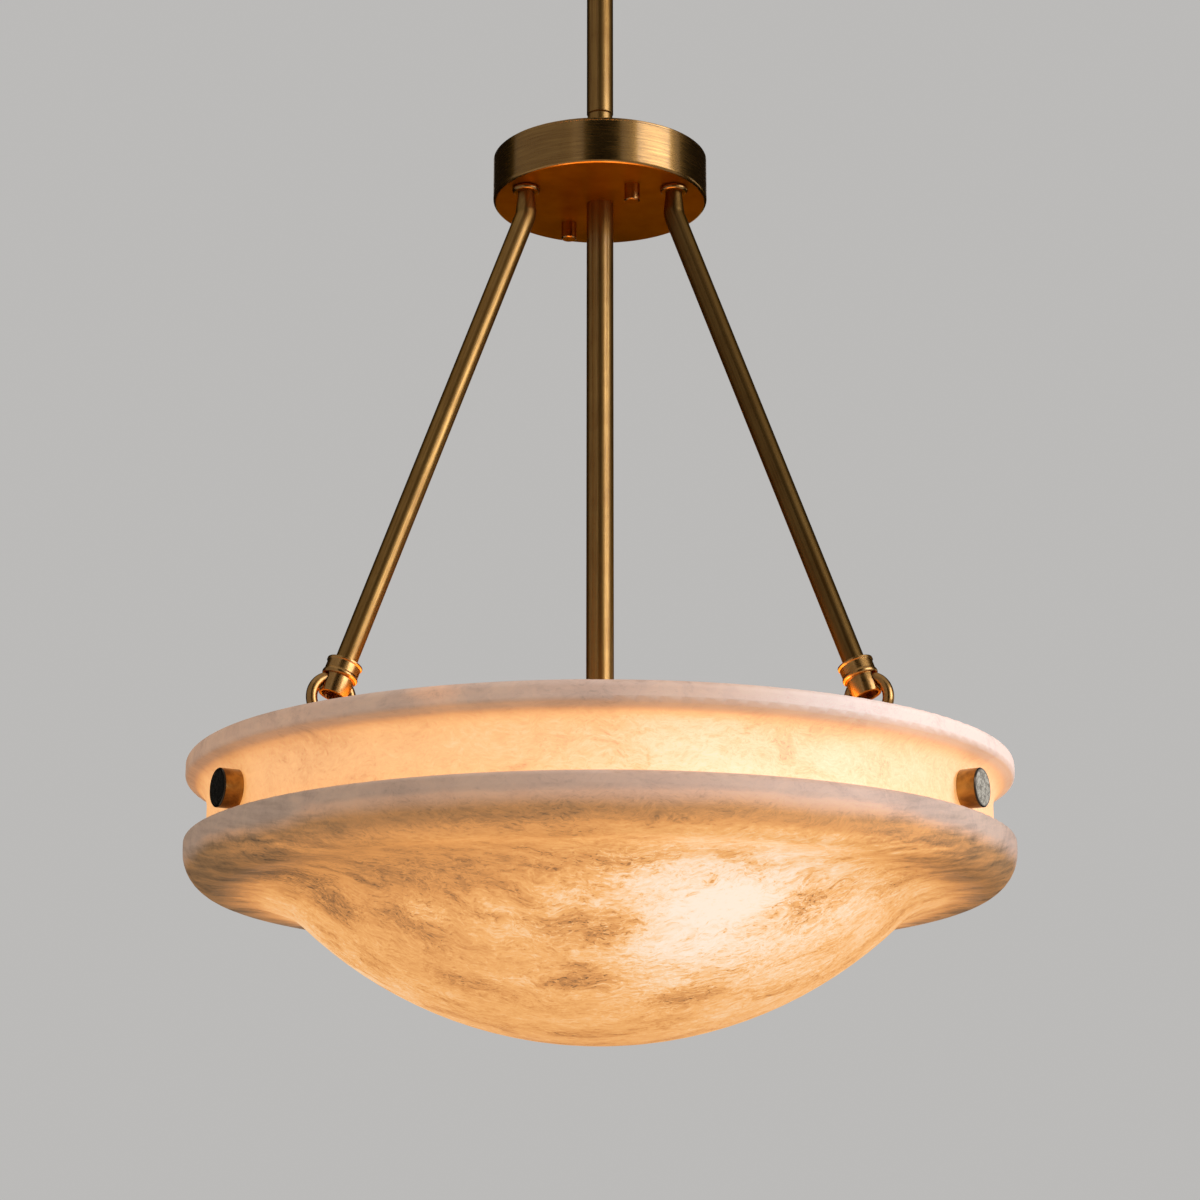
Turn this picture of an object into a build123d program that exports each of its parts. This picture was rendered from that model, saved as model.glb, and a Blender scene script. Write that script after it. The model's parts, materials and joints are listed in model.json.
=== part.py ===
from build123d import *
import math
import os

# Stone pendant light: a carved alabaster bowl hangs on three brass arms and three link rings from a
# round brass hub, and the hub hangs on a short stem from a swivel under a ceiling canopy.
# Millimetres, +Z up. The origin is the middle of the crossbar's top face, on the ceiling plane.
# The viewer stands on the -Y side.

# Shared clearances
thread_gap = 0.05
running_gap = 0.07
slip_gap = 0.1
hole_gap = 0.3
face_gap = 0.05

# Ceiling crossbar: two slots take the screws of a ceiling box
box_screw_spacing = 88.9
box_slot_length = 12.0
box_slot_width = 5.0
crossbar_width = 16.0
crossbar_thickness = 2.5
crossbar_end_margin = 4.5
stud_to_slot = 3.525

# Ceiling canopy
canopy_margin = 7.05
canopy_height = 27.0
drum_wall = 1.5
drum_floor = 2.0
drum_edge_radius = 2.2

# Studs, thumb nuts, threaded tubes and hexagon nuts
stud_diameter = 4.0
thumb_nut_diameter = 9.0
thumb_nut_length = 10.5
thumb_nut_bore_depth = 8.0
thumb_nut_chamfer = 0.6
stud_end_gap = 1.0
tube_thread_diameter = 9.6
tube_thread_bore = 6.5
tube_nut_size = 14.0
arm_nut_size = 13.0
nut_height = 4.0

# Swivel under the canopy
swivel_cup_diameter = 24.0
swivel_cup_roof = 5.0
swivel_ring_thickness = 3.0
swivel_head_diameter = 16.0
swivel_head_thickness = 2.5
swivel_headroom = 0.5
swivel_neck_diameter = 10.0
swivel_wire_bore = 6.0
fork_gap = 0.5
fork_base_diameter = 22.0
fork_base_height = 5.0
fork_ear_thickness = 4.0
eye_radius = 8.0
tongue_thickness = 6.0
tongue_width = 12.0
tongue_side_gap = 0.25
tongue_round_gap = 0.6
tongue_body_height = 12.0
swivel_pin_diameter = 5.0
pin_head_diameter = 7.5
pin_head_height = 1.5

# Stem and neck
stem_diameter = 15.88
stem_bore = 12.9
stem_length = 95.2
stem_boss_length = 16.0
stem_chamfer = 1.0
neck_diameter = 15.0
neck_length = 29.2

# Hub
hub_diameter = 127.0
hub_height = 27.5
hub_lid_thickness = 1.5
hub_lid_rim_height = 3.0
hub_lid_rim_width = 2.0
hub_lid_chamfer = 0.4
hub_stud_spacing = 69.85
hub_stud_azimuth = -57.5
hub_bar_width = 14.0
hub_bar_thickness = 2.0
hub_bar_end = 6.0

# Arms: a tapered stub out of the hub, a tight bend and a straight slanting rod
arm_azimuths = {"left": 210.0, "right": 330.0, "rear": 90.0}
arm_edge_margin = 13.5
arm_diameter = 12.2
arm_stub_diameter = 8.6
arm_tenon_diameter = 8.0
arm_tenon_length = 9.0
arm_corner_drop = 17.0
arm_bend_radius = 12.0
collar_diameter = 16.4
collar_height = 3.2

# Bowl, measured down from its rim
bowl_drop = 343.0
bowl_radius = 231.7
bowl_depth = 153.7
bowl_wall = 13.4
groove_depth = 12.3
lip_height = 11.0
cove_height = 15.0
ledge_gap = 2.5
lower_lip_height = 6.8
lower_lip_radius = 22.0
dome_edge_inset = 64.7
dome_edge_height = 66.2
ogee_pull = 15.0
inner_pull = 17.0
rim_outer_round = 4.0
rim_inner_round = 5.0
lip_round = 3.0
ledge_round = 2.5
groove_round = 1.5

# Link rings and the cup fittings at the arms' lower ends
ring_wire_diameter = 6.2
ring_radius = 11.5
ring_inset = 38.75
ring_rise = 22.9
ring_clearance = 0.9
cup_rim_drop = 1.5
cup_length = 10.5
cup_rim_diameter = 15.6
cup_top_diameter = 17.0
cup_bulge = 0.25
cup_wall = 1.5
cup_bore_headroom = 1.2
bead_length = 3.0
bead_diameter = 20.0
band_length = 5.5
band_diameter = 18.8
band_step = 0.5
lip_ring_diameter = 20.0
lip_ring_length = 1.0
arm_seat_depth = 4.0

# Bowl brackets, knobs and their through studs
bracket_width = 16.0
bracket_thickness = 2.5
bracket_bend_radius = 1.5
bracket_tail = 12.0
bracket_run_drop = 2.0
bracket_corner_radius = 5.0
eye_clearance_above = 0.6
eye_clearance_below = 1.2
eye_land = 3.5
pad_diameter = 20.0
pad_thickness = 1.0
knob_diameter = 21.0
knob_length = 10.8
knob_chamfer = 0.5
knob_bore_depth = 7.0
knob_cove_gap = 1.2
knob_gasket_diameter = 15.0
knob_gasket_thickness = 1.0
knob_stud_diameter = 5.0
knob_nut_size = 8.0
knob_nut_height = 4.0
knob_stud_tail = 2.5

# Centre rod, lamp cluster, sockets and bulbs
rod_reach = 15.0
cluster_diameter = 52.0
cluster_height = 30.0
cluster_wall = 2.0
cluster_roof = 3.0
cluster_edge_radius = 6.0
cover_thickness = 3.0
cover_rim_height = 2.5
cover_rim_width = 1.5
cover_edge_radius = 1.0
finial_diameter = 14.0
finial_neck_diameter = 7.0
finial_neck_height = 3.0
finial_screw_diameter = 4.0
lamp_azimuths = {"front": -65.0, "rear": 55.0, "side": 175.0}
lamp_tilt = 12.0
lamp_nipple_inset = 8.0
socket_wall = 5.7
socket_length = 36.0
socket_back = 6.0
socket_cavity_gap = 0.3
socket_edge_radius = 3.0
lamp_gap = 2.0
bulb_base_diameter = 26.0
bulb_base_length = 21.0
bulb_tip_diameter = 9.0
bulb_tip_length = 4.0
bulb_socket_gap = 3.0
bulb_glass_diameter = 60.0
bulb_glass_length = 78.0
bulb_neck_diameter = 29.0
bulb_glass_wall = 1.2

# Levels and radii worked out from the sizes above
crossbar_length = box_screw_spacing + box_slot_length + 2 * crossbar_end_margin
canopy_diameter = crossbar_length + 2 * (canopy_margin + drum_wall)
canopy_stud_spacing = box_screw_spacing - box_slot_length - 2 * stud_to_slot
canopy_bottom_z = -canopy_height
swivel_cavity_height = swivel_ring_thickness + swivel_head_thickness + swivel_headroom
swivel_cup_bottom_z = canopy_bottom_z - swivel_cup_roof - swivel_cavity_height
fork_top_z = swivel_cup_bottom_z - fork_gap
fork_crotch_z = fork_top_z - fork_base_height
pin_z = fork_crotch_z - eye_radius - tongue_round_gap
tongue_shoulder_z = pin_z - eye_radius - tongue_round_gap
stem_top_z = tongue_shoulder_z - tongue_body_height
stem_bottom_z = stem_top_z - stem_length
hub_top_z = stem_bottom_z - neck_length
hub_bottom_z = hub_top_z - hub_height
hub_cup_top_z = hub_top_z - hub_lid_thickness
rim_z = hub_bottom_z - bowl_drop

arm_circle_radius = hub_diameter / 2 - arm_edge_margin
arm_corner_z = hub_bottom_z - arm_corner_drop
groove_radius = bowl_radius - groove_depth
bowl_inner_radius = groove_radius - bowl_wall
ring_r = bowl_inner_radius - ring_inset
ring_z = rim_z + ring_rise
arm_lean = math.atan2(ring_r - arm_circle_radius, arm_corner_z - ring_z)

lip_z = rim_z - lip_height
cove_z = lip_z - cove_height
cove_radius = (groove_depth**2 + cove_height**2) / (2 * groove_depth)
knob_seat_r = groove_radius + face_gap + knob_gasket_thickness + face_gap
cove_reach = cove_radius - (knob_seat_r - groove_radius)
knob_top_z = cove_z + math.sqrt(cove_radius**2 - cove_reach**2) - knob_cove_gap
knob_z = knob_top_z - knob_diameter / 2
ledge_z = knob_z - knob_diameter / 2 - ledge_gap
lower_lip_z = ledge_z - lower_lip_height
bowl_bottom_z = rim_z - bowl_depth

rod_bottom_z = rim_z - rod_reach
cluster_bottom_z = rod_bottom_z - cluster_height
lamp_z = rod_bottom_z - cluster_height / 2

os.makedirs("parts", exist_ok=True)


def save(piece, node):
    """Label one finished piece and write it to its own file."""
    piece.label = node
    export_step(piece, f"parts/{node}.step")


def save_around(piece, node, azimuths):
    """Write copies of a piece made at azimuth 0, each turned to its own azimuth."""
    for side, azimuth in azimuths.items():
        save(piece.rotate(Axis.Z, azimuth), f"{node}_{side}")


def save_group(pieces, node):
    """Write several separate small pieces together as one group of solids."""
    with BuildPart() as group:
        for piece in pieces:
            add(piece)
    save(group.part, node)


def save_group_around(piece, node, azimuths):
    """Write turned copies of a small piece together as one group of solids."""
    save_group([piece.rotate(Axis.Z, azimuth) for azimuth in azimuths.values()], node)


def at(piece, x, y, z):
    """Move a piece from the origin to a place."""
    return piece.moved(Location((x, y, z)))


def polar(radius, azimuth):
    """A place on a circle round the light's axis."""
    angle = math.radians(azimuth)
    return radius * math.cos(angle), radius * math.sin(angle)


def radial_plane(azimuth):
    """A vertical plane through the light's axis that faces outwards, with its own y axis up."""
    across = polar(1, azimuth + 90)
    return Plane(origin=(0, 0, 0), x_dir=(*across, 0), z_dir=(*polar(1, azimuth), 0))


def drum(diameter, height, top_z):
    """A round open-topped shell with a rounded bottom edge, its rim at top_z."""
    radius = diameter / 2
    bottom_z = top_z - height
    with BuildPart() as shell:
        with BuildSketch(Plane.XZ) as section:
            with BuildLine():
                Polyline(
                    (0, bottom_z),
                    (radius, bottom_z),
                    (radius, top_z),
                    (radius - drum_wall, top_z),
                    (radius - drum_wall, bottom_z + drum_floor),
                    (0, bottom_z + drum_floor),
                    close=True,
                )
            make_face()
            fillet(section.vertices().sort_by_distance((radius, bottom_z, 0))[0], drum_edge_radius)
        revolve(axis=Axis.Z)
    return shell.part


def hex_nut(size, bore_diameter, height):
    """A hexagon nut that stands on the origin."""
    with BuildPart() as nut:
        with BuildSketch():
            RegularPolygon(size / 2, 6, major_radius=False)
            Circle(bore_diameter / 2 + thread_gap, mode=Mode.SUBTRACT)
        extrude(amount=height)
    return nut.part


def plain_tube(outer_diameter, bore_diameter, low_z, high_z):
    """A straight tube on the light's axis."""
    with BuildPart() as tube:
        with BuildSketch(Plane.XY.offset(low_z)):
            Circle(outer_diameter / 2)
            Circle(bore_diameter / 2, mode=Mode.SUBTRACT)
        extrude(amount=high_z - low_z)
    return tube.part


def thumb_nut():
    """A plain cylindrical thumb nut that hangs from the origin, with a blind bore in its top."""
    with BuildPart() as nut:
        with BuildSketch(Plane.XY.offset(-thumb_nut_length)):
            Circle(thumb_nut_diameter / 2)
        extrude(amount=thumb_nut_length)
        chamfer(nut.faces().sort_by(Axis.Z)[0].edges(), thumb_nut_chamfer)
        with BuildSketch():
            Circle(stud_diameter / 2 + running_gap)
        extrude(amount=-thumb_nut_bore_depth, mode=Mode.SUBTRACT)
    return nut.part


def stud_pair(spacing, azimuth, top_z, seat_z):
    """Two studs that hang from a bar and end inside the thumb nuts under seat_z."""
    bottom_z = seat_z - thumb_nut_bore_depth + stud_end_gap
    with BuildPart() as studs:
        with BuildSketch(Plane.XY.offset(bottom_z)):
            with PolarLocations(spacing / 2, 2, start_angle=azimuth):
                Circle(stud_diameter / 2)
        extrude(amount=top_z - bottom_z)
    return studs.part


# Ceiling crossbar
with BuildPart() as ceiling_crossbar:
    with BuildSketch(Plane.XY.offset(-crossbar_thickness)):
        SlotOverall(crossbar_length, crossbar_width)
        with GridLocations(box_screw_spacing, 0, 2, 1):
            SlotOverall(box_slot_length, box_slot_width, mode=Mode.SUBTRACT)
        with GridLocations(canopy_stud_spacing, 0, 2, 1):
            Circle(stud_diameter / 2 + thread_gap, mode=Mode.SUBTRACT)
        Circle(tube_thread_diameter / 2 + thread_gap, mode=Mode.SUBTRACT)
    extrude(amount=crossbar_thickness)
save(ceiling_crossbar.part, "ceiling_crossbar")
save(stud_pair(canopy_stud_spacing, 0, 0, canopy_bottom_z), "crossbar_studs")

# Ceiling canopy with its threaded tube, lock nut and thumb nuts
with BuildPart() as ceiling_canopy:
    add(drum(canopy_diameter, canopy_height, 0))
    with BuildSketch(Plane.XY.offset(canopy_bottom_z)):
        Circle(tube_thread_diameter / 2 + hole_gap)
        with GridLocations(canopy_stud_spacing, 0, 2, 1):
            Circle(stud_diameter / 2 + hole_gap)
    extrude(amount=drum_floor, mode=Mode.SUBTRACT)
save(ceiling_canopy.part, "ceiling_canopy")
canopy_tube = plain_tube(tube_thread_diameter, tube_thread_bore, canopy_bottom_z - swivel_cup_roof, 0)
save(canopy_tube, "canopy_threaded_tube")
canopy_nut = hex_nut(tube_nut_size, tube_thread_diameter, nut_height)
save(at(canopy_nut, 0, 0, -crossbar_thickness - nut_height), "canopy_lock_nut")
for side, direction in {"left": -1, "right": 1}.items():
    nut_x = direction * canopy_stud_spacing / 2
    save(at(thumb_nut(), nut_x, 0, canopy_bottom_z - face_gap), f"canopy_thumb_nut_{side}")

# Swivel cup and the ring that closes it from below
cavity_radius = swivel_head_diameter / 2 + hole_gap
with BuildPart() as swivel_cup:
    with BuildSketch(Plane.XZ):
        with BuildLine():
            Polyline(
                (tube_thread_diameter / 2 + thread_gap, canopy_bottom_z),
                (swivel_cup_diameter / 2, canopy_bottom_z),
                (swivel_cup_diameter / 2, swivel_cup_bottom_z),
                (cavity_radius, swivel_cup_bottom_z),
                (cavity_radius, canopy_bottom_z - swivel_cup_roof),
                (tube_thread_diameter / 2 + thread_gap, canopy_bottom_z - swivel_cup_roof),
                close=True,
            )
        make_face()
    revolve(axis=Axis.Z)
    chamfer(swivel_cup.faces().sort_by(Axis.Z)[0].outer_wire().edges(), stem_chamfer)
save(swivel_cup.part, "swivel_cup")
ring_top_z = swivel_cup_bottom_z + swivel_ring_thickness
swivel_ring = plain_tube(
    2 * (cavity_radius - thread_gap),
    swivel_neck_diameter + 2 * running_gap,
    swivel_cup_bottom_z,
    ring_top_z,
)
save(swivel_ring, "swivel_ring")

# Swivel fork: a flanged head turns in the cup, and two ears hold the pin
tongue_slot = tongue_thickness + 2 * tongue_side_gap
fork_width = tongue_slot + 2 * fork_ear_thickness
head_bottom_z = ring_top_z + face_gap
with BuildPart() as swivel_fork:
    with BuildSketch(Plane.XY.offset(head_bottom_z)):
        Circle(swivel_head_diameter / 2)
    extrude(amount=swivel_head_thickness)
    with BuildSketch(Plane.XY.offset(fork_top_z)):
        Circle(swivel_neck_diameter / 2)
    extrude(amount=head_bottom_z - fork_top_z)
    with BuildSketch(Plane.XY.offset(fork_crotch_z)):
        Circle(fork_base_diameter / 2)
    extrude(amount=fork_base_height)
    with BuildSketch(Plane.XZ):
        with Locations((0, (fork_crotch_z + pin_z) / 2)):
            Rectangle(2 * eye_radius, fork_crotch_z - pin_z)
        with Locations((0, pin_z)):
            Circle(eye_radius)
    extrude(amount=fork_width / 2, both=True)
    with BuildSketch(Plane.XZ):
        with Locations((0, (fork_crotch_z + pin_z) / 2 - eye_radius)):
            Rectangle(fork_base_diameter, fork_crotch_z - pin_z + 2 * eye_radius)
    extrude(amount=tongue_slot / 2, both=True, mode=Mode.SUBTRACT)
    with BuildSketch(Plane.XZ):
        with Locations((0, pin_z)):
            Circle(swivel_pin_diameter / 2 + thread_gap)
    extrude(amount=fork_width, both=True, mode=Mode.SUBTRACT)
    with BuildSketch(Plane.XY.offset(fork_crotch_z)):
        Circle(swivel_wire_bore / 2)
    extrude(amount=head_bottom_z + swivel_head_thickness - fork_crotch_z, mode=Mode.SUBTRACT)
save(swivel_fork.part, "swivel_fork")

# Swivel pin: a rivet along Y with a head at each end
with BuildPart() as swivel_pin:
    with BuildSketch(Plane.XZ):
        with Locations((0, pin_z)):
            Circle(swivel_pin_diameter / 2)
    extrude(amount=fork_width / 2, both=True)
    for head_plane in (Plane.XZ.offset(fork_width / 2), Plane.XZ.offset(-fork_width / 2 - pin_head_height)):
        with BuildSketch(head_plane):
            with Locations((0, pin_z)):
                Circle(pin_head_diameter / 2)
        extrude(amount=pin_head_height)
save(swivel_pin.part, "swivel_pin")

# Swivel tongue: an eye on the pin, a round body and a tenon that screws into the stem
with BuildPart() as swivel_tongue:
    with BuildSketch(Plane.XZ):
        with Locations((0, pin_z)):
            Circle(eye_radius)
        with Locations((0, (pin_z + tongue_shoulder_z) / 2)):
            Rectangle(tongue_width, pin_z - tongue_shoulder_z)
    extrude(amount=tongue_thickness / 2, both=True)
    with BuildSketch(Plane.XY.offset(stem_top_z)):
        Circle(stem_diameter / 2)
    extrude(amount=tongue_body_height)
    with BuildSketch(Plane.XY.offset(stem_top_z)):
        Circle(tube_thread_diameter / 2)
    extrude(amount=-(stem_boss_length - stud_end_gap))
    with BuildSketch(Plane.XZ):
        with Locations((0, pin_z)):
            Circle(swivel_pin_diameter / 2 + running_gap)
    extrude(amount=tongue_thickness, both=True, mode=Mode.SUBTRACT)
save(swivel_tongue.part, "swivel_tongue")

# Stem: a tube with a threaded boss inside each end and a chamfered lower edge
stem_r = stem_diameter / 2
boss_r = tube_thread_diameter / 2 + slip_gap
with BuildPart() as stem:
    with BuildSketch(Plane.XZ):
        with BuildLine():
            Polyline(
                (boss_r, stem_top_z),
                (stem_r, stem_top_z),
                (stem_r, stem_bottom_z + stem_chamfer),
                (stem_r - stem_chamfer, stem_bottom_z),
                (boss_r, stem_bottom_z),
                (boss_r, stem_bottom_z + stem_boss_length),
                (stem_bore / 2, stem_bottom_z + stem_boss_length),
                (stem_bore / 2, stem_top_z - stem_boss_length),
                (boss_r, stem_top_z - stem_boss_length),
                close=True,
            )
        make_face()
    revolve(axis=Axis.Z)
save(stem.part, "stem")

# Neck between the stem and the hub, over the threaded tube that joins them
hub_bar_bottom_z = hub_cup_top_z - hub_bar_thickness
hub_nut_z = hub_bar_bottom_z - nut_height
save(plain_tube(neck_diameter, tube_thread_diameter + 2 * slip_gap, hub_top_z, stem_bottom_z), "stem_neck")
hub_tube = plain_tube(
    tube_thread_diameter,
    tube_thread_bore,
    hub_nut_z - stud_end_gap,
    stem_bottom_z + stem_boss_length - stud_end_gap,
)
save(hub_tube, "hub_threaded_tube")
hub_nut = hex_nut(tube_nut_size, tube_thread_diameter, nut_height)
save(at(hub_nut, 0, 0, hub_nut_z), "hub_tube_nut")

# Hub cup, with holes for the arms, the centre rod and the two studs
with BuildPart() as hub_cup:
    add(drum(hub_diameter, hub_height - hub_lid_thickness, hub_cup_top_z))
    with BuildSketch(Plane.XY.offset(hub_bottom_z)):
        Circle(tube_thread_diameter / 2 + hole_gap)
        with Locations(*[polar(arm_circle_radius, azimuth) for azimuth in arm_azimuths.values()]):
            Circle(arm_tenon_diameter / 2 + hole_gap)
        with PolarLocations(hub_stud_spacing / 2, 2, start_angle=hub_stud_azimuth):
            Circle(stud_diameter / 2 + hole_gap)
    extrude(amount=drum_floor, mode=Mode.SUBTRACT)
save(hub_cup.part, "hub_cup")

# Hub lid, with a locating rim that drops inside the cup
lid_rim_radius = hub_diameter / 2 - drum_wall - slip_gap
with BuildPart() as hub_lid:
    with BuildSketch(Plane.XY.offset(hub_cup_top_z)):
        Circle(hub_diameter / 2)
    extrude(amount=hub_lid_thickness)
    chamfer(hub_lid.faces().sort_by(Axis.Z)[-1].edges(), hub_lid_chamfer)
    with BuildSketch(Plane.XY.offset(hub_cup_top_z)):
        Circle(lid_rim_radius)
        Circle(lid_rim_radius - hub_lid_rim_width, mode=Mode.SUBTRACT)
    extrude(amount=-hub_lid_rim_height)
    with BuildSketch(Plane.XY.offset(hub_cup_top_z)):
        Circle(tube_thread_diameter / 2 + hole_gap)
    extrude(amount=hub_lid_thickness, mode=Mode.SUBTRACT)
save(hub_lid.part, "hub_lid")

# Bar under the lid that carries the hub's two studs
hub_bar_length = hub_stud_spacing + 2 * hub_bar_end
hub_bar_plane = Plane.XY.offset(hub_bar_bottom_z).rotated((0, 0, hub_stud_azimuth))
with BuildPart() as hub_crossbar:
    with BuildSketch(hub_bar_plane):
        SlotOverall(hub_bar_length, hub_bar_width)
        Circle(tube_thread_diameter / 2 + hole_gap, mode=Mode.SUBTRACT)
        with GridLocations(hub_stud_spacing, 0, 2, 1):
            Circle(stud_diameter / 2 + thread_gap, mode=Mode.SUBTRACT)
    extrude(amount=hub_bar_thickness)
save(hub_crossbar.part, "hub_crossbar")
save(stud_pair(hub_stud_spacing, hub_stud_azimuth, hub_cup_top_z, hub_bottom_z), "hub_studs")
for side, azimuth in {"front": hub_stud_azimuth, "rear": hub_stud_azimuth + 180}.items():
    nut_x, nut_y = polar(hub_stud_spacing / 2, azimuth)
    save(at(thumb_nut(), nut_x, nut_y, hub_bottom_z - face_gap), f"hub_thumb_nut_{side}")

# Arm: threaded tenon and tapered stub, then the bend and the slanting rod, made at azimuth 0
arm_r = arm_diameter / 2
bend_reach = arm_bend_radius * math.tan(arm_lean / 2)
bend_top_z = arm_corner_z + bend_reach
cup_top_s = cup_rim_drop + cup_length
bead_top_s = cup_top_s + bead_length
band_top_s = bead_top_s + band_length
fitting_top_s = band_top_s + lip_ring_length
arm_end_s = fitting_top_s - arm_seat_depth
arm_end = (ring_r - arm_end_s * math.sin(arm_lean), ring_z + arm_end_s * math.cos(arm_lean))
bend_end = (
    arm_circle_radius + bend_reach * math.sin(arm_lean),
    arm_corner_z - bend_reach * math.cos(arm_lean),
)
stub_axis = Axis((arm_circle_radius, 0, 0), (0, 0, 1))
with BuildPart() as arm:
    with BuildSketch(Plane.XZ):
        with BuildLine():
            Polyline(
                (arm_circle_radius, hub_bottom_z + arm_tenon_length),
                (arm_circle_radius + arm_tenon_diameter / 2, hub_bottom_z + arm_tenon_length),
                (arm_circle_radius + arm_tenon_diameter / 2, hub_bottom_z),
                (arm_circle_radius + arm_stub_diameter / 2, hub_bottom_z),
                (arm_circle_radius + arm_r, bend_top_z),
                (arm_circle_radius, bend_top_z),
                close=True,
            )
        make_face()
    revolve(axis=stub_axis)
    with BuildLine(Plane.XZ):
        TangentArc((arm_circle_radius, bend_top_z), bend_end, tangent=(0, -1))
        Line(bend_end, arm_end)
    with BuildSketch(Plane.XY.offset(bend_top_z)):
        with Locations((arm_circle_radius, 0)):
            Circle(arm_r)
    sweep()
save_around(arm.part, "arm", arm_azimuths)

# Bead collars where the stubs enter the hub
stub_growth = (arm_r - arm_stub_diameter / 2) * collar_height / (hub_bottom_z - bend_top_z)
collar_bore = arm_stub_diameter / 2 + stub_growth + slip_gap
with BuildPart() as collar:
    with BuildSketch(Plane.XZ) as collar_section:
        with Locations((arm_circle_radius + (collar_bore + collar_diameter / 2) / 2, hub_bottom_z)):
            Rectangle(
                collar_diameter / 2 - collar_bore,
                collar_height,
                align=(Align.CENTER, Align.MAX),
            )
        fillet(collar_section.vertices().sort_by(Axis.X)[2:], collar_height / 2 - face_gap)
    revolve(axis=stub_axis)
save_group_around(collar.part, "arm_collars", arm_azimuths)

# Lock nuts inside the hub: one on each arm and one on the centre rod
arm_nut = hex_nut(arm_nut_size, arm_tenon_diameter, nut_height)
lock_nuts = [
    at(arm_nut, *polar(arm_circle_radius, azimuth), hub_bottom_z + drum_floor)
    for azimuth in arm_azimuths.values()
]
rod_nut = hex_nut(tube_nut_size, tube_thread_diameter, nut_height)
lock_nuts.append(at(rod_nut, 0, 0, hub_bottom_z + drum_floor))
save_group(lock_nuts, "hub_lock_nuts")

# Link ring: a closed ring of round wire in the radial plane, made at azimuth 0
ring_centre = (ring_r, 0, ring_z)
ring_axis = Axis(ring_centre, (0, 1, 0))
with BuildPart() as link_ring:
    with BuildSketch(Plane.YZ.offset(ring_r)):
        with Locations((0, ring_z + ring_radius)):
            Circle(ring_wire_diameter / 2)
    revolve(axis=ring_axis)
save_around(link_ring.part, "link_ring", arm_azimuths)

# Arm fitting: lip, band, bead and a tapered cup, open below and pierced for the link ring
arm_x = (math.cos(arm_lean), 0, math.sin(arm_lean))
arm_up = (-math.sin(arm_lean), 0, math.cos(arm_lean))
fitting_plane = Plane(origin=ring_centre, x_dir=arm_x, z_dir=(0, -1, 0))
cup_bore_r = cup_rim_diameter / 2 - cup_wall
cup_bore_top_s = ring_radius + ring_wire_diameter / 2 + cup_bore_headroom
seat_r = arm_r + slip_gap
with BuildPart() as arm_fitting:
    with BuildSketch(fitting_plane):
        with BuildLine():
            Polyline(
                (band_diameter / 2, bead_top_s),
                (band_diameter / 2, band_top_s - band_step),
                (lip_ring_diameter / 2, band_top_s),
                (lip_ring_diameter / 2, fitting_top_s),
                (seat_r, fitting_top_s),
                (seat_r, arm_end_s),
                (0, arm_end_s),
                (0, cup_bore_top_s),
                (cup_bore_r, cup_bore_top_s),
                (cup_bore_r, cup_rim_drop),
                (cup_rim_diameter / 2, cup_rim_drop),
            )
            ThreePointArc(
                (cup_rim_diameter / 2, cup_rim_drop),
                ((cup_rim_diameter + cup_top_diameter) / 4 + cup_bulge, (cup_rim_drop + cup_top_s) / 2),
                (cup_top_diameter / 2, cup_top_s),
            )
            Line((cup_top_diameter / 2, cup_top_s), (band_diameter / 2, cup_top_s))
            ThreePointArc(
                (band_diameter / 2, cup_top_s),
                (bead_diameter / 2, cup_top_s + bead_length / 2),
                (band_diameter / 2, bead_top_s),
            )
        make_face()
    revolve(axis=Axis(ring_centre, arm_up))
    with BuildSketch(Plane.YZ.offset(ring_r)):
        with Locations((0, ring_z + ring_radius)):
            Circle(ring_wire_diameter / 2 + ring_clearance)
    revolve(axis=ring_axis, mode=Mode.SUBTRACT)
save_around(arm_fitting.part, "arm_fitting", arm_azimuths)

# Stone bowl: two lips with a groove between them, and an ogee that runs into a shallow dome
dome_edge_r = bowl_radius - dome_edge_inset
dome_radius = (dome_edge_r**2 + dome_edge_height**2) / (2 * dome_edge_height)
dome_centre_z = bowl_bottom_z + dome_radius
dome_angle = math.asin(dome_edge_r / dome_radius)
inner_dome_radius = dome_radius - bowl_wall


def dome_point(radius, angle):
    """A point of the dome's section, at an angle from straight down."""
    return radius * math.sin(angle), dome_centre_z - radius * math.cos(angle)


def dome_tangent(point, length):
    """A control point that leaves the dome's edge along its tangent, outwards and up."""
    return point[0] + length * math.cos(dome_angle), point[1] + length * math.sin(dome_angle)


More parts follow.
